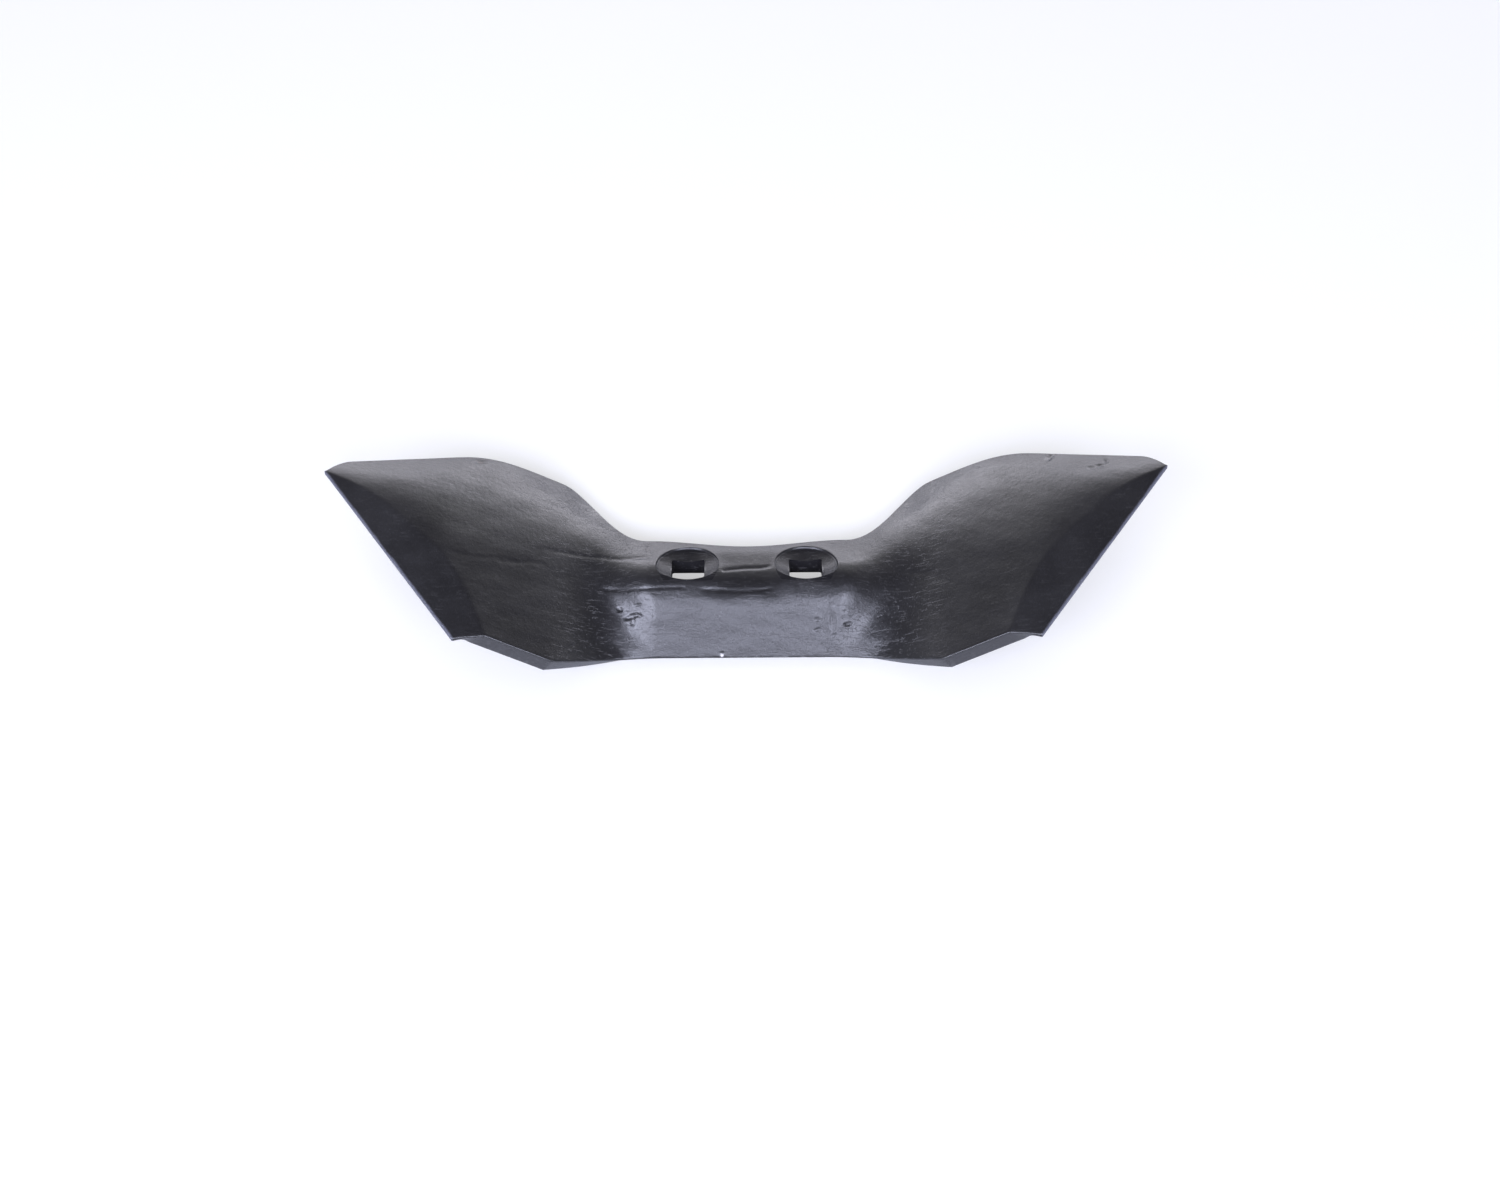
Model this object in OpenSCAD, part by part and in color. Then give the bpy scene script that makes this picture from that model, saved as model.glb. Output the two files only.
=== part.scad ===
// Wing share: a winged wear share that bolts onto a cultivator tine behind its point.
// It is one steel forging, mirror-symmetric about X = 0: a flange with two square
// bolt holes, a steep pad in front of it, and two wings that rise outward.
//
// The shape is worked out in the bolt frame: X across the span, Y to the rear and
// Z along the bolts, with its origin midway between the bolt axes on the flange's
// upper face. The finished share is then laid down as it lies on a bench, with the
// pad's lower edge and the wings' necks on Z = 0. Sizes are in millimetres.

/* [Plate] */
// Thickness of the forged plate
plate_t = 9; // [6:0.5:9.5]
// Angle between the bolts and the vertical when the share lies on a bench
rest_tilt = 28; // [25:0.5:34]

/* [Bolt holes] */
// Distance between the two bolt axes
hole_pitch = 50; // [44:1:52]
// Side of the square hole that holds the bolt's neck
square_side = 14; // [10:0.5:15]
// Diameter of the countersink at the flange's face
sink_d = 27; // [22:0.5:28]
// Depth of the countersink, where its cone is as wide as the square
sink_depth = 3.4; // [2.8:0.2:5]
// Depth of the straight rim above the cone
sink_land = 0.6; // [0.2:0.1:1.2]

/* [Flange] */
// From the bolt axes to the flange's rear edge, at the sides
flange_rear = 19.5; // [16:0.5:21]
// How much nearer the rear edge comes at the middle
flange_dip = 5; // [0:0.5:6]
// Half the width of the flange and pad, where they are straight
centre_half = 43; // [40:0.5:46]

/* [Pad] */
// Steepness of the pad below the flange
pad_angle = 67; // [55:1:70]
// From the bolt axes forward to the corner of pad and flange
pad_corner = 9.5; // [8:0.5:12]
// Outer radius of the bend between pad and flange
pad_bend_r = 16; // [10:0.5:18]
// How much narrower, on each side, the pad is at its lower edge
pad_taper = 4; // [0:1:10]
// From the bolt axes forward to the pad's lower edge
pad_front = 23.3; // [20:0.1:26]

/* [Front lobes] */
// Inner corner of the lobe: distance from the middle
lobe_x = 79.3; // [70:0.1:85]
// Inner corner of the lobe: distance forward of the bolt axes
lobe_front = 41.7; // [37:0.1:47]
// How fast the front edge falls back from the lobe toward the pad
lobe_cut = 0.45; // [0:0.05:0.5]

/* [Wings] */
// Distance from the middle where the pad's section has wholly turned into the wing's
wing_start = 82; // [74:1:90]
// Steepness of the wing's front face
wing_angle = 26; // [18:1:32]
// Bend line at the wing's start: distance to the rear of the bolt axes
bend_y = 1.5; // [-4.5:0.5:7.5]
// Bend line at the wing's start: height above the flange
bend_z = 2; // [-3:0.2:6]
// Forward sweep of the bend line, for each millimetre outward
bend_sweep = 0.5; // [0.3:0.02:0.7]
// Rise of the bend line, for each millimetre outward
bend_rise = 0.327; // [0.2:0.01:0.4]
// The same rise outward of the rear corner
tip_rise = 0.207; // [0.18:0.01:0.3]
// The same sweep outward of the rear corner
tip_sweep = 0.04; // [0:0.02:0.5]
// Length over which the one rise and sweep turn into the other
rise_ease = 20; // [4:2:30]
// Bend radius at the neck
neck_bend_r = 69; // [50:1:90]
// Bend radius of the outer wing
wing_bend_r = 132; // [100:2:180]
// Bend radius near the wing tip
tip_bend_r = 40; // [30:1:60]
// Distance from the middle where the bend starts to tighten towards the tip
tight_start = 112; // [110:1:118]
// Distance from the middle where it has the tip's radius
tight_end = 145; // [135:1:160]
// Distance from the middle where the bend starts to open
open_start = 68; // [50:2:80]
// Distance from the middle where it has its outer radius
open_end = 110; // [90:1:110]

/* [Rear edge] */
// End of the neck: distance from the middle
neck_x = 84; // [78:1:92]
// End of the neck: distance to the rear of the bolt axes
neck_rear = 52; // [46:0.5:58]
// Rear corner of the wing: distance from the middle
corner_x = 118; // [105:1:125]
// Rear corner of the wing: distance to the rear of the bolt axes
corner_rear = 48; // [44:0.5:54]
// Length over which the rear corner is rounded
corner_ease = 12; // [2:1:20]
// Corner near the wing tip: distance from the middle
tail_x = 170; // [162:0.5:170]
// Corner near the wing tip: distance to the rear of the bolt axes
tail_rear = 22.8; // [19:0.2:26]
// Length over which that corner is rounded
tail_ease = 6; // [1:1:8]

/* [Cutting edge] */
// Front end of the cutting edge: distance from the middle
edge_x = 118.2; // [112:0.2:124]
// Front end of the cutting edge: distance forward of the bolt axes
edge_front = 44.1; // [40:0.1:48]
// Front end of the cutting edge: height of its upper lip
edge_z = -7.3; // [-12:0.1:-3]
// Wing tip: distance from the middle
tip_x = 175.2; // [170:0.2:182]
// Wing tip: distance to the rear of the bolt axes
tip_rear = 12.5; // [8:0.5:16]
// Wing tip: height of its upper lip
tip_z = 38.4; // [34:0.2:40]
// Thickness of the blunt cutting edge
edge_t = 1.5; // [0.8:0.1:2.5]
// Slope of the ground bevel, square to the cutting edge
bevel_slope = 29; // [24:0.5:34]
// Distance from the edge over which the underside reaches full thickness
edge_blend = 8; // [7:1:24]

/* [Hidden] */

// Least length of plate left at the wing tip, so that its faces stay closed
tip_least = 0.6;
// Steps of the surface mesh from front to rear, and the width of a step across it
rows = 22;
column_step = 4;
// How far cutting bodies run past what they cut
past = 2 * plate_t;
// Sides of a full circle
$fn = 96;

// ---- small functions ----
function mix(a, b, k) = a + (b - a) * k;
function clamp(v, low, high) = min(max(v, low), high);
function ramp(a, b, v) = let (k = clamp((v - a) / (b - a), 0, 1)) k * k * (3 - 2 * k);
// Zero below 0, a line of slope 1 above, and a parabola of length e between them
function ease(d, e) = d <= 0 ? 0 : d < e ? d * d / (2 * e) : d - e / 2;
function arc_length(radius, angle) = radius * angle * PI / 180;
function arc_angle(radius, length) = length / radius * 180 / PI;

// ---- outline, seen along the bolts; x is the distance from the middle ----
edge_slope = (tip_rear + edge_front) / (tip_x - edge_x);
function edge_y(x) = -edge_front + edge_slope * (x - edge_x);

function front_y(x) =
    x < lobe_x ? -lobe_front + lobe_cut * (lobe_x - x)
    : x < edge_x ? mix(-lobe_front, -edge_front, (x - lobe_x) / (edge_x - lobe_x))
    : edge_y(x);

shoulder_slope = (neck_rear - corner_rear) / (corner_x - neck_x);
tail_slope = (corner_rear - tail_rear) / (tail_x - corner_x);
nose_slope = (tail_rear - tip_rear) / (tip_x - tail_x);
function rear_y(x) =
    neck_rear - shoulder_slope * max(x - neck_x, 0)
    - (tail_slope - shoulder_slope) * ease(x - corner_x + corner_ease / 2, corner_ease)
    - (nose_slope - tail_slope) * ease(x - tail_x + tail_ease / 2, tail_ease);
function flange_y(x) = flange_rear - flange_dip * (1 + cos(180 * min(x / centre_half, 1))) / 2;

// ---- a section, square to the span: a straight face, a bend, then level ----
// a is the face's steepness, r the bend's radius and b the point where the bend starts.
// Length along the section from the bend's start to the depth y
function length_to(a, r, b, y) =
    let (d = y - b[0])
    d <= 0 ? d / cos(a)
    : d < r * sin(a) ? arc_length(r, a - asin(sin(a) - d / r))
    : arc_length(r, a) + d - r * sin(a);

// Point of the section at a length s from the bend's start
function section_point(a, r, b, s) =
    let (all = arc_length(r, a), left = a - arc_angle(r, clamp(s, 0, all)))
    [b[0] + min(s, 0) * cos(a) + r * (sin(a) - sin(left)) + max(s - all, 0),
     b[1] + min(s, 0) * sin(a) + r * (cos(left) - cos(a))];

// The section from one depth to another, in even steps
function section(a, r, b, front, rear) =
    let (s0 = length_to(a, r, b, front), s1 = length_to(a, r, b, rear))
    [for (j = [0:rows]) section_point(a, r, b, mix(s0, s1, j / rows))];

pad_tangent = pad_bend_r * tan(pad_angle / 2);
pad_bend = [-pad_corner - pad_tangent * cos(pad_angle), -pad_tangent * sin(pad_angle)];
function pad_section(x) = section(pad_angle, pad_bend_r, pad_bend, -pad_front, flange_y(x));

// The bend opens towards the outer wing and tightens again towards the tip, where the
// sloping front and the level rear keep their planes
function tightened(x) = (wing_bend_r - tip_bend_r) * ramp(tight_start, tight_end, x);
function wing_bend_radius(x) =
    mix(neck_bend_r, wing_bend_r, ramp(open_start, open_end, x)) - tightened(x);
function wing_bend(x) =
    let (outer = ease(x - corner_x + rise_ease / 2, rise_ease),
         shorter = tightened(x) * tan(wing_angle / 2))
    [bend_y - bend_sweep * (x - wing_start) + (bend_sweep - tip_sweep) * outer
         + shorter * cos(wing_angle),
     bend_z + bend_rise * (x - wing_start) - (bend_rise - tip_rise) * outer
         + shorter * sin(wing_angle)];
function wing_section(x) =
    section(wing_angle, wing_bend_radius(x), wing_bend(x), front_y(x),
            max(rear_y(x), front_y(x) + tip_least));

// ---- upper face: rows from front to rear, columns across the span ----
// The pad's section turns into the wing's between the centre and the wing's start,
// beginning nearer the middle towards the pad's lower edge
function winged(x, j) = ramp(centre_half - pad_taper * (1 - j / rows), wing_start, x);
function upper_column(side, x) =
    let (pad = pad_section(x), wing = wing_section(x))
    [for (j = [0:rows]) let (p = mix(pad[j], wing[j], winged(x, j))) [side * x, p[0], p[1]]];

// Evenly spaced stations from a up to, but not including, b
function stations(a, b) =
    let (n = ceil((b - a) / column_step)) [for (i = [0:n - 1]) mix(a, b, i / n)];
half_span = concat(stations(0, centre_half), stations(centre_half, lobe_x),
                   stations(lobe_x, edge_x), stations(edge_x, tip_x), [tip_x]);
halves = len(half_span) - 1;
upper = concat([for (i = [halves:-1:1]) upper_column(-1, half_span[i])],
               [for (x = half_span) upper_column(1, x)]);
columns = len(upper) - 1;

// ---- bevel: a plane through the cutting edge ----
edge_run = norm([tip_x - edge_x, tip_rear + edge_front]);
edge_yaw = atan2(tip_rear + edge_front, tip_x - edge_x);
edge_climb = (tip_z - edge_z) / edge_run;
// Distance along the cutting edge, and inward from it, seen along the bolts
function along_edge(p) = (abs(p[0]) - edge_x) * cos(edge_yaw) + (p[1] + edge_front) * sin(edge_yaw);
function off_edge(p) = -(abs(p[0]) - edge_x) * sin(edge_yaw) + (p[1] + edge_front) * cos(edge_yaw);
function lip_z(p) = edge_z + edge_climb * along_edge(p) + tan(bevel_slope) * off_edge(p);

// ---- underside: the plate's thickness below, drawn to the lip at the cutting edge ----
function unit(v) = v / norm(v);
function normal_at(i, j) =
    unit(cross(upper[min(i + 1, columns)][j] - upper[max(i - 1, 0)][j],
               upper[i][min(j + 1, rows)] - upper[i][max(j - 1, 0)]));
function under_point(i, j) =
    let (p = upper[i][j],
         plain = p - plate_t * normal_at(i, j),
         thin = [p[0], p[1], lip_z(p) - edge_t],
         near = abs(p[0]) < lobe_x ? 0 : 1 - ramp(0, edge_blend, off_edge(p)))
    mix(plain, thin, near);
under = [for (i = [0:columns]) [for (j = [0:rows]) under_point(i, j)]];

// ---- the plate as one closed mesh ----
function flat(lists) = [for (l = lists) for (p = l) p];
per_side = (columns + 1) * (rows + 1);
function top_id(i, j) = i * (rows + 1) + j;
function low_id(i, j) = per_side + top_id(i, j);
function quad(a, b, c, d) = [[a, b, c], [a, c, d]];
plate_points = flat(concat(upper, under));
plate_faces = flat(concat(
    [for (i = [0:columns - 1], j = [0:rows - 1])
        quad(top_id(i, j), top_id(i, j + 1), top_id(i + 1, j + 1), top_id(i + 1, j))],
    [for (i = [0:columns - 1], j = [0:rows - 1])
        quad(low_id(i, j), low_id(i + 1, j), low_id(i + 1, j + 1), low_id(i, j + 1))],
    [for (i = [0:columns - 1]) quad(top_id(i, 0), top_id(i + 1, 0), low_id(i + 1, 0), low_id(i, 0))],
    [for (i = [0:columns - 1])
        quad(top_id(i + 1, rows), top_id(i, rows), low_id(i, rows), low_id(i + 1, rows))],
    [for (j = [0:rows - 1]) quad(top_id(0, j + 1), top_id(0, j), low_id(0, j), low_id(0, j + 1))],
    [for (j = [0:rows - 1])
        quad(top_id(columns, j), top_id(columns, j + 1), low_id(columns, j + 1), low_id(columns, j))]));

// ---- how it lies on a bench: tilted, lowest point on Z = 0, centred over the origin ----
function lay(p) = [p[0], p[1] * cos(rest_tilt) + p[2] * sin(rest_tilt),
                   p[2] * cos(rest_tilt) - p[1] * sin(rest_tilt)];
laid_y = [for (p = plate_points) lay(p)[1]];
laid_z = [for (p = plate_points) lay(p)[2]];
bench_shift = [0, -(min(laid_y) + max(laid_y)) / 2, -min(laid_z)];

module plate() {
    polyhedron(points = plate_points, faces = plate_faces, convexity = 6);
}

// Everything above the bevel's plane, along one cutting edge
module above_bevel() {
    edge_length = norm([edge_run, tip_z - edge_z]);
    translate([edge_x, -edge_front, edge_z])
        rotate([0, 0, edge_yaw])
            rotate([0, -atan(edge_climb), 0])
                rotate([atan(tan(bevel_slope) * cos(atan(edge_climb))), 0, 0])
                    translate([-past, -past, 0])
                        cube([edge_length + 2 * past, 3 * past, 2 * past]);
}

// Square hole with its countersink: a cone below a short straight rim
module bolt_hole() {
    translate([0, 0, -plate_t])
        cube([square_side, square_side, 2 * past], center = true);
    rotate_extrude()
        polygon([[0, -sink_depth], [square_side / 2, -sink_depth], [sink_d / 2, -sink_land],
                 [sink_d / 2, past], [0, past]]);
}

module wing_share() {
    color([0.15, 0.15, 0.16])
        translate(bench_shift)
            rotate([-rest_tilt, 0, 0])
                difference() {
                    plate();
                    for (side = [0, 1]) {
                        mirror([side, 0, 0]) above_bevel();
                        mirror([side, 0, 0]) translate([hole_pitch / 2, 0, 0]) bolt_hole();
                    }
                }
}

wing_share();
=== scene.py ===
"""A forged wing share in worn satin-black paint, lying on a white paper floor.

The share is one closed mesh. It is worked out in the bolt frame, in millimetres: X across
the span, Y to the rear, Z along the bolts, origin midway between the bolt axes on the
flange's upper face. lay() then puts it down as the CAD part lies, in metres.
"""

from math import cos, pi, radians, sin, tan

import bmesh
import bpy
import numpy as np
from mathutils import Matrix, Vector


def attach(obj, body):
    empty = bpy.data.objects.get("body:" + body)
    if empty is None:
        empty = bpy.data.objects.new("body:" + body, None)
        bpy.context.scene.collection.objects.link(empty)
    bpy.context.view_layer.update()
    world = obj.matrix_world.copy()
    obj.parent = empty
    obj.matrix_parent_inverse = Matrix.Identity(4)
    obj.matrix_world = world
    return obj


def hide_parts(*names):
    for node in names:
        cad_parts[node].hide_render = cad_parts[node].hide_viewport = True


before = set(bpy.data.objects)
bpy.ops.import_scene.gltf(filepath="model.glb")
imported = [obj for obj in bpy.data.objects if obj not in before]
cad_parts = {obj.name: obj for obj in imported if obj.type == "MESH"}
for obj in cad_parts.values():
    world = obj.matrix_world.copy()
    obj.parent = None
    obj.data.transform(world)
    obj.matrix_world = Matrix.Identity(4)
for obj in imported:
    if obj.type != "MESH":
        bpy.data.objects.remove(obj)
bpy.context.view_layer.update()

# ---------------------------------------------------------------- sizes, mm and degrees
PLATE_T = 9.0
REST_TILT = radians(28)
HOLE_X = 25.0
SQUARE, SINK_R, SINK_DEPTH, SINK_LAND = 14.0, 13.5, 3.4, 0.6
FLANGE_REAR, FLANGE_DIP, CENTRE_HALF = 19.5, 5.0, 43.0
PAD_ANGLE, PAD_CORNER, PAD_BEND_R, PAD_FRONT = radians(67), 9.5, 16.0, 23.3
PAD_TAPER = 8.0        # the pad's bright face draws in faster than the solid's 4 mm
LOBE_X, LOBE_FRONT, LOBE_CUT = 79.3, 41.7, 0.45
WING_START, WING_ANGLE = 82.0, radians(26)
BEND_Y, BEND_Z, BEND_SWEEP, BEND_RISE = 1.5, 2.0, 0.5, 0.327
TIP_SWEEP, TIP_RISE, RISE_EASE = 0.04, 0.207, 20.0
NECK_BEND_R, WING_BEND_R, OPEN_START, OPEN_END = 69.0, 132.0, 68.0, 110.0
TIP_BEND_R, TIGHT_START, TIGHT_END = 40.0, 112.0, 145.0
NECK_X, NECK_REAR, CORNER_X, CORNER_REAR, CORNER_EASE = 84.0, 52.0, 118.0, 48.0, 12.0
EDGE_X, EDGE_FRONT, EDGE_Z = 118.2, 44.1, -7.3
TIP_X, TIP_REAR, TIP_Z = 175.2, 12.5, 38.4
TAIL_X, TAIL_REAR, TAIL_EASE = 170.0, 22.8, 6.0
EDGE_T, BEVEL_SLOPE, EDGE_BLEND, TIP_LEAST = 1.5, radians(29), 8.0, 0.6
COLUMN_STEP = 0.75     # mesh step across the span
ROWS = 130             # mesh steps from front to rear
EDGE_R = 0.7           # rounding of the plate's edges
CREASE_W = 0.16        # softness of the bevel's crease
RELIEF_TOP = 0.12      # the relief rises no further than this over the ideal form
WEB_DIP = 1.25         # how far the web between the holes falls away towards the pad
RUN_OUT = 0.45         # how far the lower end of the pad's bend is hollowed
BEVEL_FROM = 60        # the bevel's plane cuts only outward of this distance
ROUND_STEPS = 3        # mesh steps round each edge of the plate
WALL_STEPS = 5         # mesh steps down its side
SHARP = radians(38)    # edges above this angle are shaded sharp
CAM_E = radians(33)    # the photograph's camera, above the flange's plane


# ---------------------------------------------------------------- the share's form
def mix(a, b, k):
    return a + (b - a) * k


def ramp(a, b, v):
    """0 before a, 1 past b, and a smooth step between them; a may be above b."""
    k = np.clip((v - a) / (b - a), 0, 1)
    return k * k * (3 - 2 * k)


def ease(d, e):
    """0 up to d = 0, then a line of slope 1 that is eased in over the length e."""
    return np.where(d <= 0, 0, np.where(d < e, d * d / (2 * e), d - e / 2))


def front_y(x):
    """The wings' front outline: lobe, straight nose and cutting edge."""
    lobe = -LOBE_FRONT + LOBE_CUT * (LOBE_X - x)
    nose = mix(-LOBE_FRONT, -EDGE_FRONT, (x - LOBE_X) / (EDGE_X - LOBE_X))
    edge = -EDGE_FRONT + (TIP_REAR + EDGE_FRONT) / (TIP_X - EDGE_X) * (x - EDGE_X)
    return np.where(x < LOBE_X, lobe, np.where(x < EDGE_X, nose, edge))


def rear_y(x):
    """The wings' rear outline: shoulder, tail and the cut across the tip."""
    shoulder = (NECK_REAR - CORNER_REAR) / (CORNER_X - NECK_X)
    tail = (CORNER_REAR - TAIL_REAR) / (TAIL_X - CORNER_X)
    nose = (TAIL_REAR - TIP_REAR) / (TIP_X - TAIL_X)
    return (NECK_REAR - shoulder * np.maximum(x - NECK_X, 0)
            - (tail - shoulder) * ease(x - CORNER_X + CORNER_EASE / 2, CORNER_EASE)
            - (nose - tail) * ease(x - TAIL_X + TAIL_EASE / 2, TAIL_EASE))


def flange_y(x):
    """The flange's rear outline, which dips in the middle."""
    return FLANGE_REAR - FLANGE_DIP * (1 + np.cos(pi * np.minimum(x / CENTRE_HALF, 1))) / 2


def length_to(a, r, by, y):
    """How far along a section the place y is, from the lower end of its bend."""
    d = y - by
    inside = np.clip(sin(a) - d / r, -1, 1)
    return np.where(d <= 0, d / cos(a),
                    np.where(d < r * sin(a), r * (a - np.arcsin(inside)), r * a + d - r * sin(a)))


def section(a, r, by, bz, front, rear, steps, inset):
    """Points along line, bend and level: steps 0 to 1 of the length, past inset at both ends."""
    s0, s1 = length_to(a, r, by, front), length_to(a, r, by, rear)
    inset = np.minimum(inset, 0.3 * (s1 - s0))
    body = mix((s0 + inset)[:, None], (s1 - inset)[:, None], steps[None, :])
    s = np.concatenate([s0[:, None], body, s1[:, None]], axis=1)
    r, by, bz = (np.broadcast_to(v, s0.shape)[:, None] for v in (r, by, bz))
    left = a - np.clip(s, 0, r * a) / r
    y = by + np.minimum(s, 0) * cos(a) + r * (sin(a) - np.sin(left)) + np.maximum(s - r * a, 0)
    z = bz + np.minimum(s, 0) * sin(a) + r * (np.cos(left) - cos(a))
    return y, z


def upper_face(x, steps, inset):
    """Upper face at the stations x (any sign), as an array [station, row, xyz]."""
    d = np.abs(x)
    tangent = PAD_BEND_R * tan(PAD_ANGLE / 2)
    pad = section(PAD_ANGLE, PAD_BEND_R, -PAD_CORNER - tangent * cos(PAD_ANGLE),
                  -tangent * sin(PAD_ANGLE), np.full(d.shape, -PAD_FRONT), flange_y(d), steps, inset)
    front = front_y(d)
    tight = (WING_BEND_R - TIP_BEND_R) * ramp(TIGHT_START, TIGHT_END, d)
    shorter = tight * tan(WING_ANGLE / 2)
    outer = ease(d - CORNER_X + RISE_EASE / 2, RISE_EASE)
    wing = section(WING_ANGLE, mix(NECK_BEND_R, WING_BEND_R, ramp(OPEN_START, OPEN_END, d)) - tight,
                   BEND_Y - BEND_SWEEP * (d - WING_START) + (BEND_SWEEP - TIP_SWEEP) * outer
                   + shorter * cos(WING_ANGLE),
                   BEND_Z + BEND_RISE * (d - WING_START) - (BEND_RISE - TIP_RISE) * outer
                   + shorter * sin(WING_ANGLE),
                   front, np.maximum(rear_y(d), front + TIP_LEAST), steps, inset)
    rows = np.concatenate([[0], steps, [1]])[None, :]
    winged = ramp(CENTRE_HALF - PAD_TAPER * (1 - rows), WING_START, d[:, None])
    y, z = (mix(p, w, winged) for p, w in zip(pad, wing))
    return np.stack([np.broadcast_to(x[:, None], y.shape), y, z], axis=2)


EDGE_RUN = np.hypot(TIP_X - EDGE_X, TIP_REAR + EDGE_FRONT)
EDGE_COS, EDGE_SIN = (TIP_X - EDGE_X) / EDGE_RUN, (TIP_REAR + EDGE_FRONT) / EDGE_RUN


def off_edge(p):
    """How far inward of the cutting edge, seen along the bolts."""
    return -(np.abs(p[..., 0]) - EDGE_X) * EDGE_SIN + (p[..., 1] + EDGE_FRONT) * EDGE_COS


def lip_z(p):
    """Height of the bevel's plane, which rises inward from the cutting edge."""
    along = (np.abs(p[..., 0]) - EDGE_X) * EDGE_COS + (p[..., 1] + EDGE_FRONT) * EDGE_SIN
    return EDGE_Z + (TIP_Z - EDGE_Z) / EDGE_RUN * along + tan(BEVEL_SLOPE) * off_edge(p)


def normals(p):
    u, v = np.gradient(p, axis=0), np.gradient(p, axis=1)
    n = np.cross(u, v)
    return n / np.linalg.norm(n, axis=2, keepdims=True)


# ---- what forging and use left on the upper face; places are (across, up) as the
# photograph's camera sees them, in millimetres from the middle of the flange
def up_face(p):
    return p[..., 1] * sin(CAM_E) + p[..., 2] * cos(CAM_E)


# folds in the forging's skin: places along the line, half width, depth
FOLDS = [
    ([(-90, 7.2), (-75.8, 4.9), (-69.6, 3.7), (-62.5, 3.1), (-54.5, 2.3), (-45.7, 2.9), (-39.5, 3.3)],
     0.75, 0.25),
    ([(-66, -10.4), (-53.6, -10.9), (-44.8, -10.5), (-36.7, -10.1), (-27.8, -9.8), (-24, -10.6)],
     0.7, 0.17),
    ([(-11, -2.4), (-8.1, -1.8), (-0.9, -1.1), (5.4, -1.0), (11.4, 0.0)], 0.8, 0.42),
    ([(-21, -10.8), (-11.6, -11.1), (-2, -11.7), (6, -11.2), (12, -10.5)], 0.8, 0.2),
    ([(-104, 1.6), (-97, 0.8), (-90, 1.2), (-83, -0.6)], 0.9, 0.12),
    ([(-122, 5.0), (-112, 3.0), (-101, 2.4), (-95, 1.0)], 1.0, 0.1),
    ([(64, -3.5), (72, -4.6), (81, -3.9)], 1.0, 0.1),
]
# dents and nicks: across, up, half lengths, turn in degrees, depth (negative: raised)
DENTS = [
    # on the pad's left end
    (-48.3, -22.2, 1.6, 1.0, 20, 0.4), (-50.6, -22.9, 0.9, 0.9, 0, 0.32),
    (-45.6, -21.6, 1.4, 0.7, -30, 0.28), (-48.0, -24.6, 0.8, 1.5, 10, 0.28),
    (-53.6, -19.2, 1.0, 0.9, 0, 0.34), (-46.4, -17.4, 1.6, 0.5, 15, 0.22),
    (-49.8, -20.4, 1.2, 0.45, -25, -0.16),
    # on its right end
    (29.6, -24.0, 1.0, 0.7, -40, 0.3), (29.4, -28.2, 1.2, 0.6, 30, 0.26),
    (35.8, -24.6, 0.8, 3.4, 4, 0.42), (42.2, -26.0, 1.3, 0.7, 15, 0.48),
    (36.4, -30.6, 1.0, 0.6, 50, 0.24), (41.2, -20.6, 0.6, 0.6, 0, 0.22),
    # near the right tip, and at the left wing's rear corner
    (131.9, 45.6, 2.0, 0.8, 48, 0.5), (152.6, 42.4, 1.1, 0.8, 30, 0.3),
    (149.6, 40.3, 1.4, 0.6, 10, 0.3), (146.2, 39.4, 1.2, 0.7, -20, 0.25),
    (-116.6, 45.9, 1.9, 0.8, 5, 0.35),
    # on the left lobe, and at the pad's lower edge
    (-61.0, -31.8, 2.2, 0.5, 28, 0.2), (-72.6, -34.2, 2.6, 0.45, 25, 0.22),
    (-71.0, -33.0, 1.8, 0.4, 40, 0.16), (-64.5, -35.8, 1.6, 0.5, -35, 0.16),
    (-10.8, -37.9, 0.8, 0.7, 0, 0.3),
]


def to_line(u, v, line):
    """Distance to a line of places, and how far along it from 0 to 1."""
    best, where = np.full(u.shape, 1e9), np.zeros(u.shape)
    for i, ((u0, v0), (u1, v1)) in enumerate(zip(line, line[1:])):
        du, dv = u1 - u0, v1 - v0
        k = np.clip(((u - u0) * du + (v - v0) * dv) / (du * du + dv * dv), 0, 1)
        d = np.hypot(u - u0 - k * du, v - v0 - k * dv)
        where = np.where(d < best, (i + k) / (len(line) - 1), where)
        best = np.minimum(best, d)
    return best, where


def relief(p):
    """Height of the upper face over its ideal form, in mm along its normal."""
    u, v = p[..., 0], up_face(p)
    # slow waves of the forging, longer across the span than up it
    h = (0.05 * np.sin(0.071 * u + 0.9 * np.sin(0.11 * v)) * np.sin(0.33 * v + 0.04 * u)
         + 0.028 * np.sin(0.16 * u - 0.55 * v + 1.3) + 0.018 * np.sin(0.29 * u + 0.83 * v))
    # the web between the two holes falls away towards the pad
    h = h - WEB_DIP * (1 - ramp(8, 19, np.abs(u))) * ramp(5.8, -1, v) * (1 - ramp(-3, -18, v))
    # the bend runs out softly into the pad
    h = h - RUN_OUT * (1 - ramp(38, 50, np.abs(u))) * ramp(-20, -12, v) * (1 - ramp(-12, -5, v))
    for line, half, depth in FOLDS:
        d, where = to_line(u, v, line)
        fade = ramp(0, 0.12, where) * (1 - ramp(0.85, 1, where))
        h = h - depth * fade * np.exp(-(d / half) ** 2)
    for across, up, ru, rv, turn, depth in DENTS:
        c, s = cos(radians(turn)), sin(radians(turn))
        du, dv = u - across, v - up
        q = ((du * c + dv * s) / ru) ** 2 + ((dv * c - du * s) / rv) ** 2
        # a low burr stands round each hollow
        h = h - depth * (np.exp(-q) - 0.25 * np.exp(-(np.sqrt(q) - 1.7) ** 2 / 0.3))
    return h


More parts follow.
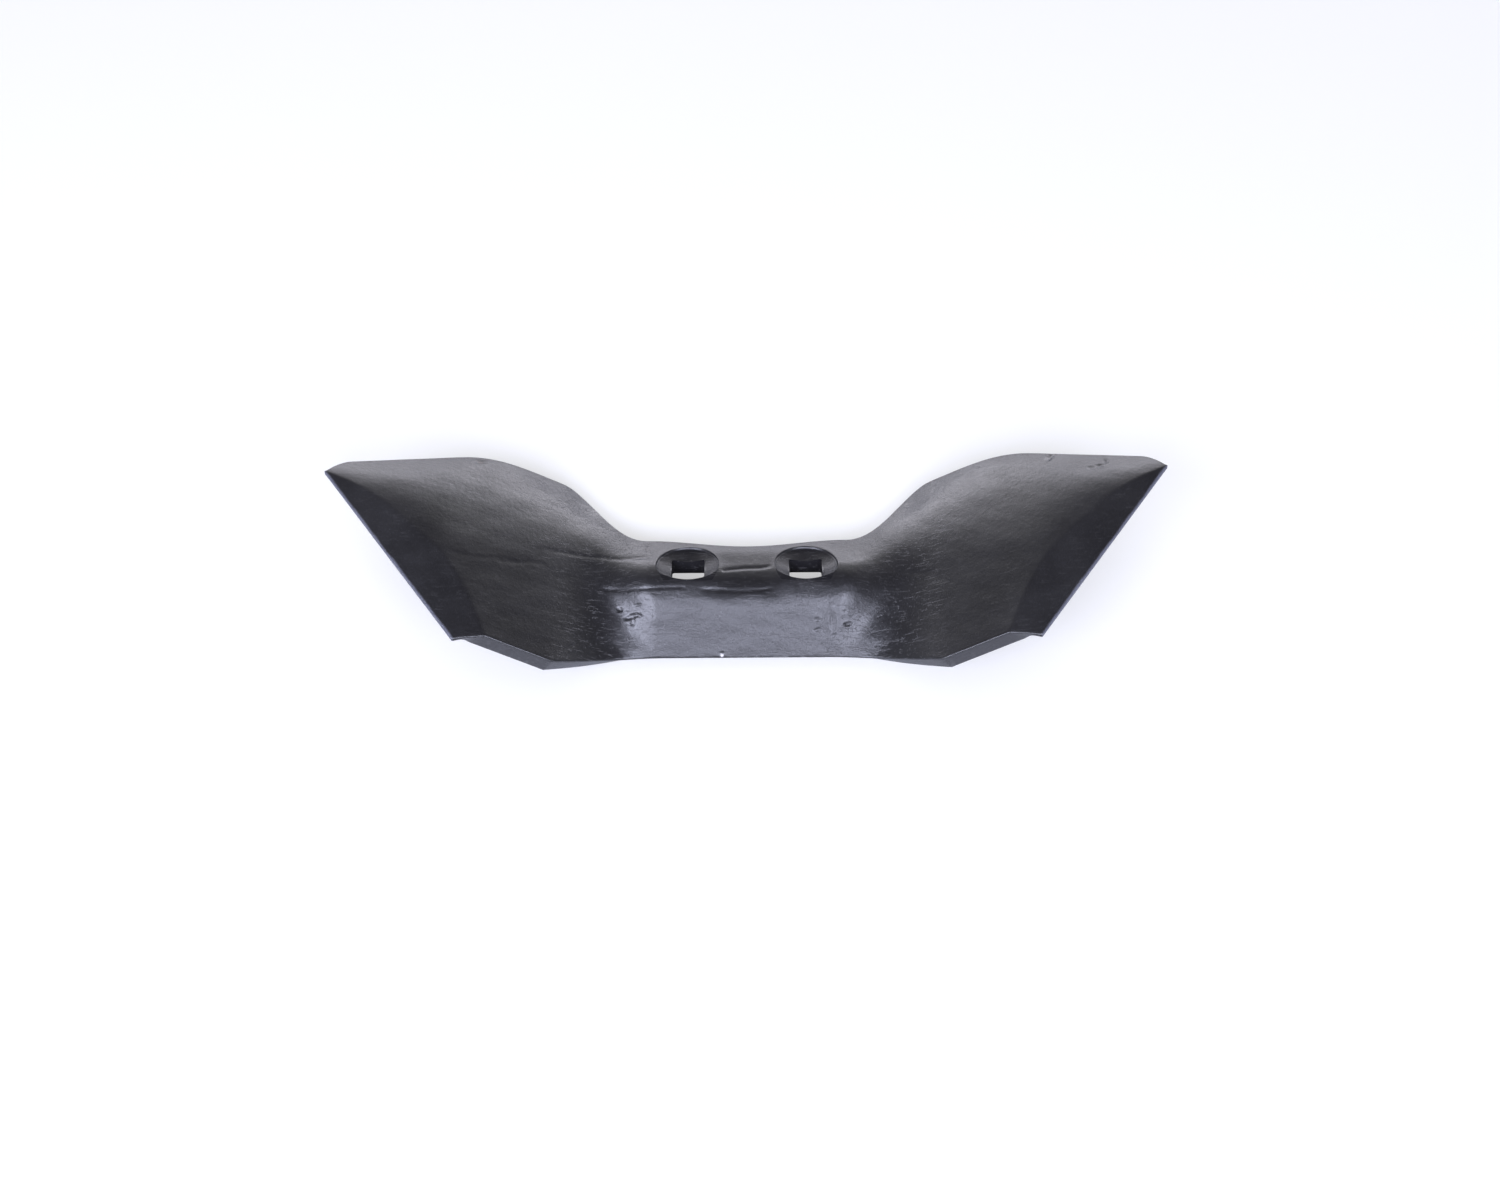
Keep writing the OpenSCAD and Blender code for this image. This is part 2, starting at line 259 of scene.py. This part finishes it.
def corner(a, c, b, n):
    """n points of the curve from a towards the sharp corner c and on to b, ends left out."""
    k = (np.arange(1, n + 1) / (n + 1))[None, :, None]
    return a[:, None] * (1 - k) ** 2 + 2 * c[:, None] * k * (1 - k) + b[:, None] * k ** 2


def corner_line(a, b, n):
    """n points of the straight line from a to b, ends left out."""
    k = (np.arange(1, n + 1) / (n + 1))[None, :, None]
    return a[:, None] * (1 - k) + b[:, None] * k


def toward(a, b, dist):
    """The points a, moved towards b."""
    d = b - a
    return a + d * (dist / np.maximum(np.linalg.norm(d, axis=1), 1e-9))[:, None]


def stations():
    """Places across the span, with one on each mark where the outline changes."""
    marks = [0, CENTRE_HALF, LOBE_X, EDGE_X, TIP_X]
    half = np.concatenate([np.linspace(a, b, int(np.ceil((b - a) / COLUMN_STEP)) + 1)[:-1]
                           for a, b in zip(marks, marks[1:])] + [[TIP_X]])
    return np.concatenate([-half[:0:-1], half])


def share_rings():
    """Closed rings of points, one for each station across the span."""
    x = stations()
    plain = upper_face(x, np.linspace(0, 1, ROWS + 1), np.full(x.shape, EDGE_R))
    n = normals(plain)
    # each end row repeats its neighbour's direction, where the spacing is uneven
    n[:, 0], n[:, -1] = n[:, 1], n[:, -2]
    low = plain - PLATE_T * n
    near = np.where(np.abs(plain[..., 0]) < LOBE_X, 0, 1 - ramp(0, EDGE_BLEND, off_edge(plain)))
    thin = plain.copy()
    thin[..., 2] = lip_z(plain) - EDGE_T
    low = mix(low, thin, near[..., None])
    top = plain.copy()
    # the lower of face and bevel, with a soft crease; the clip keeps logaddexp finite
    gap = np.clip((top[..., 2] - lip_z(top)) / CREASE_W, -60, 60)
    cut = top[..., 2] - CREASE_W * np.logaddexp(0, gap)
    top[..., 2] = np.where(np.abs(top[..., 0]) > BEVEL_FROM, cut, top[..., 2])
    # the relief dies out at the edges of the face, where the CAD part's box is closest
    rows = np.arange(top.shape[1])
    inner = ramp(0, 2, np.minimum(rows, rows[::-1]))[None, :] * ramp(0, 3, TIP_X - np.abs(x))[:, None]
    top = top + n * (np.minimum(relief(top), RELIEF_TOP) * inner)[..., None]
    wall_front = np.linalg.norm(top[:, 0] - low[:, 0], axis=1)
    wall_rear = np.linalg.norm(top[:, -1] - low[:, -1], axis=1)
    reach_front = np.minimum(EDGE_R, 0.4 * wall_front)
    reach_rear = np.minimum(EDGE_R, 0.4 * wall_rear)
    # over the upper face, down the rear side, back under it and up the front side
    parts = [top[:, 1:-1]]
    a, b = toward(top[:, -1], low[:, -1], reach_rear), toward(low[:, -1], top[:, -1], reach_rear)
    parts += [corner(top[:, -2], top[:, -1], a, ROUND_STEPS), a[:, None],
              corner_line(a, b, WALL_STEPS), b[:, None],
              corner(b, low[:, -1], low[:, -2], ROUND_STEPS)]
    parts += [low[:, -2:0:-1]]
    a, b = toward(low[:, 0], top[:, 0], reach_front), toward(top[:, 0], low[:, 0], reach_front)
    parts += [corner(low[:, 1], low[:, 0], a, ROUND_STEPS), a[:, None],
              corner_line(a, b, WALL_STEPS), b[:, None],
              corner(b, top[:, 0], top[:, 1], ROUND_STEPS)]
    return np.concatenate(parts, axis=1)


def lay(p, shift):
    """From the bolt frame, mm, to the share as it lies, in metres."""
    p = np.asarray(p, dtype=float)
    y = p[..., 1] * cos(REST_TILT) + p[..., 2] * sin(REST_TILT) + shift[1]
    z = p[..., 2] * cos(REST_TILT) - p[..., 1] * sin(REST_TILT) + shift[2]
    return np.stack([p[..., 0] + shift[0], y, z], axis=-1) / 1000


def mesh_from(name, points, faces):
    mesh = bpy.data.meshes.new(name)
    mesh.from_pydata(points.reshape(-1, 3).tolist(), [], faces)
    mesh.validate()
    b = bmesh.new()
    b.from_mesh(mesh)
    bmesh.ops.recalc_face_normals(b, faces=b.faces)
    b.to_mesh(mesh)
    b.free()
    obj = bpy.data.objects.new(name, mesh)
    bpy.context.scene.collection.objects.link(obj)
    return obj


rings = share_rings()
laid = lay(rings, (0, 0, 0)) * 1000
SHIFT = (0, -(laid[..., 1].min() + laid[..., 1].max()) / 2, -laid[..., 2].min())

ids = np.arange(rings.shape[0] * rings.shape[1]).reshape(rings.shape[:2])
after = np.roll(ids, -1, axis=1)
quads = np.stack([ids[:-1], after[:-1], after[1:], ids[1:]], axis=-1).reshape(-1, 4).tolist()
quads += [ids[0, ::-1].tolist(), ids[-1].tolist()]
share = mesh_from("share", lay(rings, SHIFT), quads)


def hole_cutters(side):
    """Square neck with softened corners, and the turned countersink with a rounded rim."""
    half, r = SQUARE / 2, 1.0
    square = []
    for qx, qy, start in ((1, 1, 0), (-1, 1, 90), (-1, -1, 180), (1, -1, 270)):
        for step in range(5):
            t = radians(start + step * 22.5)
            square.append((qx * (half - r) + r * cos(t), qy * (half - r) + r * sin(t)))
    # the neck runs well past both faces of the plate, and the countersink's top above it
    neck = np.array([[(px, py, z) for px, py in square] for z in (-30.0, 8.0)])
    n = len(square)
    faces = [list(range(n))[::-1], list(range(n, 2 * n))]
    faces += [[i, (i + 1) % n, n + (i + 1) % n, n + i] for i in range(n)]
    centre = np.array([side * HOLE_X, 0, 0])
    prism = mesh_from("neck", lay(neck + centre, SHIFT), faces)
    rim = 0.5
    # radius and height, from the middle of the countersink's floor out to its rim
    profile = [(0.001, -SINK_DEPTH - 0.3), (half - 0.9, -SINK_DEPTH - 0.3), (half, -SINK_DEPTH + 0.1),
               (half + 3.2, -SINK_DEPTH + 1.35), (SINK_R - 0.9, -SINK_LAND - 0.75),
               (SINK_R - 0.25, -SINK_LAND - 0.3), (SINK_R, -SINK_LAND)]
    profile += [(SINK_R + rim * (1 - cos(t)), -rim + rim * sin(t) + 0.02)
                for t in np.radians([15, 35, 55, 75, 90])]
    profile += [(SINK_R + rim + 0.6, 0.05), (SINK_R + rim + 0.6, 10.0), (0.001, 10.0)]
    turns, m = 128, len(profile)
    pts = np.array([[(r0 * cos(t), r0 * sin(t), z) for r0, z in profile]
                    for t in np.linspace(0, 2 * pi, turns, endpoint=False)])
    faces = [[i * m + k, i * m + k + 1, (i + 1) % turns * m + k + 1, (i + 1) % turns * m + k]
             for i in range(turns) for k in range(m - 1)]
    faces.append([i * m for i in range(turns)])
    faces.append([i * m + m - 1 for i in range(turns)][::-1])
    return [prism, mesh_from("sink", lay(pts + centre, SHIFT), faces)]


# the cuts are applied one after another: stacked, the last one misses its hole
for cutter in hole_cutters(-1) + hole_cutters(1):
    cut = share.modifiers.new("cut", "BOOLEAN")
    cut.operation, cut.solver, cut.object = "DIFFERENCE", "EXACT", cutter
    whole = share.evaluated_get(bpy.context.evaluated_depsgraph_get())
    cut_mesh = bpy.data.meshes.new_from_object(whole)
    share.modifiers.clear()
    share.data = cut_mesh
    bpy.data.objects.remove(cutter)
share.data.polygons.foreach_set("use_smooth", np.ones(len(share.data.polygons), dtype=bool))
share.data.set_sharp_from_angle(angle=SHARP)


# ---------------------------------------------------------------- materials
class Nodes:
    """A fresh node tree with short calls for the nodes used here."""

    def __init__(self, tree):
        tree.nodes.clear()
        self.nodes, self.links = tree.nodes, tree.links

    def new(self, kind, values=None, **settings):
        n = self.nodes.new(kind)
        for key, value in settings.items():
            setattr(n, key, value)
        for socket, value in (values or {}).items():
            if isinstance(value, bpy.types.NodeSocket):
                self.links.new(value, n.inputs[socket])
            else:
                n.inputs[socket].default_value = value
        return n

    def math(self, operation, a, b=0.0):
        return self.new("ShaderNodeMath", {0: a, 1: b}, operation=operation).outputs[0]

    def vector(self, operation, a, b=(0, 0, 0)):
        n = self.new("ShaderNodeVectorMath", {0: a, 1: b}, operation=operation)
        plain = operation in ("DISTANCE", "LENGTH", "DOT_PRODUCT")
        return n.outputs["Value" if plain else "Vector"]

    def noise(self, place, scale, detail=4.0, rough=0.55):
        values = {"Vector": place, "Scale": scale, "Detail": detail, "Roughness": rough}
        return self.new("ShaderNodeTexNoise", values).outputs["Fac"]

    def band(self, value, low, high, to_low=0.0, to_high=1.0):
        values = {"Value": value, "From Min": low, "From Max": high,
                  "To Min": to_low, "To Max": to_high}
        return self.new("ShaderNodeMapRange", values, interpolation_type="SMOOTHSTEP").outputs[0]

    def blend(self, factor, a, b):
        sockets = self.new("ShaderNodeMix", {"Factor": factor}, data_type="RGBA")
        for name, colour in (("A", a), ("B", b)):
            socket = [s for s in sockets.inputs if s.name == name and s.type == "RGBA"][0]
            if isinstance(colour, bpy.types.NodeSocket):
                self.links.new(colour, socket)
            else:
                socket.default_value = (*colour, 1)
        return [s for s in sockets.outputs if s.type == "RGBA"][0]

    def ramp(self, value, stops):
        r = self.new("ShaderNodeValToRGB", {"Fac": value})
        ends = r.color_ramp.elements
        ends[0].position, ends[0].color = stops[0][0], (*stops[0][1], 1)
        ends[1].position, ends[1].color = stops[-1][0], (*stops[-1][1], 1)
        for at, colour in stops[1:-1]:
            ends.new(at).color = (*colour, 1)
        return r.outputs["Color"]

    def bump(self, height, distance, normal=None):
        values = {"Height": height, "Strength": 1.0, "Distance": distance}
        if normal is not None:
            values["Normal"] = normal
        return self.new("ShaderNodeBump", values).outputs[0]


def grey(v, tint=(1, 1, 1)):
    return tuple(v * t for t in tint)


# chips in the paint: place in the bolt frame and radius in mm, colour
CHIPS = [
    ((-10.8, -22.9, -31.3), 0.9, (0.62, 0.60, 0.62)),
    ((-53.6, -12.8, -14.8), 0.7, (0.25, 0.24, 0.20)),
    ((-48.3, -15.4, -16.9), 0.8, (0.30, 0.29, 0.29)),
    ((-116.4, 43.0, 26.4), 1.5, (0.050, 0.032, 0.026)),
    ((42.1, -17.7, -19.9), 0.5, (0.30, 0.28, 0.24)),
]
# short strokes in the paint: turn in degrees, noise scale along and across, band of the noise
STROKES = [(35, 130, 1500, 0.635, 0.70), (-28, 150, 1700, 0.645, 0.71), (80, 160, 1500, 0.66, 0.72)]


def wear_marks(t, place, worn):
    """Thin short strokes in three directions, and flecks, where the paint is worn."""
    strokes = 0.0
    for turn, along, across, low, high in STROKES:
        turned = t.new("ShaderNodeMapping", {"Vector": place, "Rotation": (0, 0, radians(turn)),
                                             "Scale": (along, across, 60)}).outputs[0]
        strokes = t.math("MAXIMUM", strokes, t.band(t.noise(turned, 1.0, 2, 0.5), low, high))
    flecks = t.band(t.noise(place, 900, 2, 0.5), 0.62, 0.70)
    return t.math("MULTIPLY", t.math("MAXIMUM", strokes, flecks), worn)


def edge_highlight(t, place, patches):
    """Where the painted bluish highlight runs: 1 on the cutting edges and 0 inward of them:
    off_edge() in the share's own place.
    """
    parts = t.new("ShaderNodeSeparateXYZ", {0: place}).outputs
    across = t.math("ABSOLUTE", parts["X"])
    mirrored = t.new("ShaderNodeCombineXYZ", {0: across, 1: parts["Y"], 2: parts["Z"]}).outputs[0]
    inward = (-EDGE_SIN, EDGE_COS * cos(REST_TILT), -EDGE_COS * sin(REST_TILT))
    lies_at = EDGE_FRONT - SHIFT[1] * cos(REST_TILT) + SHIFT[2] * sin(REST_TILT)
    start = (EDGE_X * EDGE_SIN + EDGE_COS * lies_at) / 1000
    inside = t.math("ADD", t.vector("DOT_PRODUCT", mirrored, inward), start)
    inside = t.math("ADD", inside, t.math("MULTIPLY", t.math("SUBTRACT", patches, 0.5), 0.0016))
    outward = t.band(across, (EDGE_X - 1.2) / 1000, (EDGE_X + 0.8) / 1000)
    return t.math("MULTIPLY", t.band(inside, 0.0002, 0.0010, 0.85, 0.0), outward)


def shaded_seats(t, place):
    """1 inside the two countersinks, 0 elsewhere: where painted shade turns the paint's reflection
    down.
    """
    axis = (0, sin(REST_TILT), cos(REST_TILT))
    seats = 0.0
    for side in (-1, 1):
        away = t.vector("SUBTRACT", place, tuple(lay((side * HOLE_X, 0, 0), SHIFT).tolist()))
        height = t.vector("DOT_PRODUCT", away, axis)
        above = t.band(height, -SINK_DEPTH / 1000, (0.5 - SINK_DEPTH) / 1000)
        apart = t.vector("LENGTH", t.vector("CROSS_PRODUCT", away, axis))
        within = t.band(apart, (SINK_R - 0.8) / 1000, (SINK_R - 0.2) / 1000, 1.0, 0.0)
        seats = t.math("ADD", seats, t.math("MULTIPLY", within, above))
    return seats


def black_paint():
    mat = bpy.data.materials.new("worn_black_paint")
    mat.use_nodes = True
    t = Nodes(mat.node_tree)
    place = t.new("ShaderNodeTexCoord").outputs["Object"]
    height = t.new("ShaderNodeSeparateXYZ", {0: place}).outputs["Z"]
    cloud = t.noise(place, 35, 5, 0.6)
    patches = t.noise(place, 60, 4, 0.6)
    grain = t.noise(place, 420, 3, 0.6)
    fine = t.noise(place, 1300, 2, 0.6)
    # wear gathers on the pad, the lobes and the lower wings, in patches
    low_down = t.band(height, 0.006, 0.034, 1.0, 0.15)
    worn = t.math("MULTIPLY", low_down, t.band(patches, 0.38, 0.62, 0.35, 1.0))
    marks = wear_marks(t, place, worn)

    paint = t.ramp(cloud, [(0.3, (0.0090, 0.0086, 0.0106)), (0.7, (0.0140, 0.0135, 0.0162))])
    colour = t.blend(t.math("MULTIPLY", marks, 0.75), paint, (0.12, 0.118, 0.125))
    for spot, radius, tone in CHIPS:
        away = t.vector("DISTANCE", place, tuple(lay(spot, SHIFT).tolist()))
        ragged = t.math("MULTIPLY", t.math("SUBTRACT", fine, 0.5), radius * 0.0016)
        chip = t.band(t.math("ADD", away, ragged), radius * 0.0006, radius * 0.001, 1.0, 0.0)
        colour = t.blend(chip, colour, tone)
    # painted highlight: a thin bluish line of light along the cutting edges
    colour = t.blend(edge_highlight(t, place, patches), colour, (0.125, 0.13, 0.17))
    rough = t.math("ADD", t.band(cloud, 0.3, 0.7, 0.30, 0.37), t.math("MULTIPLY", marks, 0.2))
    # painted shade: the paint's reflection is turned down inside the bolt seats, standing in for the
    # shade in these hollows
    shine_under_seat_shade = t.band(shaded_seats(t, place), 0.0, 1.0, 0.6, 0.2)

    bump = t.bump(cloud, 0.00018)
    bump = t.bump(grain, 0.00013, bump)
    bump = t.bump(t.math("MULTIPLY", fine, t.band(worn, 0.1, 0.9, 0.35, 1.0)), 0.000055, bump)
    bump = t.bump(t.math("MULTIPLY", marks, -1.0), 0.00006, bump)
    shader = t.new("ShaderNodeBsdfPrincipled", {"Base Color": colour, "Roughness": rough, "IOR": 1.7,
                                                "Specular IOR Level": shine_under_seat_shade, "Normal": bump})
    t.new("ShaderNodeOutputMaterial", {0: shader.outputs[0]})
    return mat


def paper():
    """White paper: the camera sees mostly its own white, under a faint true shadow."""
    mat = bpy.data.materials.new("white_paper")
    mat.use_nodes = True
    t = Nodes(mat.node_tree)
    rays = t.new("ShaderNodeLightPath").outputs
    # dimmer where the paint mirrors it
    shade = t.blend(rays["Is Glossy Ray"], (0.94, 0.945, 0.965), (0.60, 0.61, 0.64))
    lit = t.new("ShaderNodeBsdfPrincipled", {"Base Color": shade, "Roughness": 0.9,
                                             "Specular IOR Level": 0.1})
    white = t.new("ShaderNodeEmission", {"Color": (1, 1, 1, 1), "Strength": 1.0})
    # far from the share the sheet runs out into plain white
    distance = t.vector("LENGTH", t.new("ShaderNodeTexCoord").outputs["Object"])
    own_white = t.math("MULTIPLY", rays["Is Camera Ray"], t.band(distance, 0.45, 1.5, 0.45, 1.0))
    both = t.new("ShaderNodeMixShader", {0: own_white, 1: lit.outputs[0], 2: white.outputs[0]})
    t.new("ShaderNodeOutputMaterial", {0: both.outputs[0]})
    return mat


share.data.materials.clear()
share.data.materials.append(black_paint())
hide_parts("wing_share")
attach(share, "root")

# ---------------------------------------------------------------- floor, light, camera
FLOOR_SIZE, FLOOR_GAP = 12, 0.0003     # metres; the gap keeps the share's lowest face clear of it
bpy.ops.mesh.primitive_plane_add(size=FLOOR_SIZE, location=(0, 0, -FLOOR_GAP))
floor = bpy.context.object
floor.name = "floor"
floor.data.materials.append(paper())


def area_light(name, azimuth, elevation, distance, size, radiance, colour):
    """A softbox that faces the share; azimuth 0 is in front, and radiance is its brightness."""
    data = bpy.data.lights.new(name, "AREA")
    data.shape, data.size, data.size_y = "RECTANGLE", size[0], size[1]
    data.energy, data.color = radiance * size[0] * size[1] * pi, colour
    obj = bpy.data.objects.new(name, data)
    bpy.context.scene.collection.objects.link(obj)
    a, e = radians(azimuth), radians(elevation)
    obj.location = Vector((sin(a) * cos(e), -cos(a) * cos(e), sin(e))) * distance
    obj.rotation_euler = (-obj.location).to_track_quat("-Z", "Y").to_euler()
    obj.visible_camera = False
    return obj


COOL = (0.77, 0.80, 1.0)
area_light("front_left", -38, 44, 1.6, (0.95, 0.62), 10.2, COOL)
area_light("front_right", 27, 44, 1.6, (0.75, 0.62), 9.0, COOL)
area_light("front_middle", 0, 40, 1.7, (0.62, 0.5), 2.65, COOL)
# whitens the paper, and stays out of the paint's reflections
area_light("overhead_fill", 0, 90, 2.2, (3.0, 3.0), 0.9, (1.0, 1.0, 1.0)).visible_glossy = False

scene = bpy.context.scene
scene.world = bpy.data.worlds.new("studio")
scene.world.use_nodes = True
w = Nodes(scene.world.node_tree)
way = w.new("ShaderNodeSeparateXYZ", {0: w.new("ShaderNodeTexCoord").outputs["Generated"]}).outputs
# radiance by height: a bright low wall behind, a dim one in front, a dark ceiling
VIOLET = (1.0, 0.985, 1.08)
BRIGHTEST, FRONT_SHARE = 10.0, 0.8     # strength behind, and how much of it is left in front
behind = w.ramp(way["Z"], [(0.0, grey(0.92, VIOLET)), (0.08, grey(0.64, VIOLET)),
                           (0.2, grey(0.185, VIOLET)), (0.3, grey(0.13, VIOLET)),
                           (0.41, grey(0.105)), (0.56, grey(0.05)), (0.72, grey(0.03)),
                           (1.0, grey(0.007))])
before = w.ramp(way["Z"], [(0.0, (0.052, 0.055, 0.062)), (0.25, (0.036, 0.038, 0.043)),
                           (0.6, grey(0.014)), (1.0, grey(0.007))])
# the wall behind is brightest to either side of its middle
sideways = w.ramp(w.math("ABSOLUTE", way["X"]), [(0.0, grey(0.50)), (0.1, grey(0.67)),
                                                 (0.3, grey(1.00)), (0.42, grey(0.94)),
                                                 (0.6, grey(0.44)), (1.0, grey(0.4))])
backward = w.band(way["Y"], 0.3, 0.75)
strength = w.math("MULTIPLY", w.blend(backward, grey(FRONT_SHARE), sideways), BRIGHTEST)
room = w.new("ShaderNodeBackground", {"Color": w.blend(backward, before, behind),
                                      "Strength": strength})
plain_white = w.new("ShaderNodeBackground", {"Color": (1, 1, 1, 1), "Strength": 1.0})
pick = w.new("ShaderNodeMixShader", {0: w.new("ShaderNodeLightPath").outputs["Is Camera Ray"],
                                     1: room.outputs[0], 2: plain_white.outputs[0]})
w.new("ShaderNodeOutputWorld", {0: pick.outputs[0]})

scene.view_settings.view_transform = "Standard"

# the photograph's camera: 33 degrees above the flange's plane, 61 above the floor
ROLL, MM_PER_PX, FOCAL, WIDTH_PX = radians(0.4), 0.418, 1400, 1500
AIM = np.array([0, -10.32, -2.80])     # where it looks, in the bolt frame
OFF_AIM_PX = (3, -18)                  # how far right and up of that the picture's middle is
SENSOR = 36
look_right = np.array([1.0, 0, 0])
look_up = np.array([0, sin(CAM_E), cos(CAM_E)])
look_back = np.array([0, -cos(CAM_E), sin(CAM_E)])
eye = AIM + MM_PER_PX * (OFF_AIM_PX[0] * look_right + OFF_AIM_PX[1] * look_up + FOCAL * look_back)
# directions of the camera once the share is laid down, then rolled a little
right, up, back = (lay(v, (0, 0, 0)) * 1000 for v in (look_right, look_up, look_back))
right, up = right * cos(ROLL) - up * sin(ROLL), up * cos(ROLL) + right * sin(ROLL)
camera = bpy.data.objects.new("camera", bpy.data.cameras.new("camera"))
scene.collection.objects.link(camera)
columns = np.stack([right, up, back, lay(eye, SHIFT)], axis=1).tolist()
camera.matrix_world = Matrix(columns + [[0, 0, 0, 1]])
camera.data.sensor_width = SENSOR
camera.data.lens = SENSOR * FOCAL / WIDTH_PX
camera.data.clip_start, camera.data.clip_end = 0.01, 50
scene.camera = camera
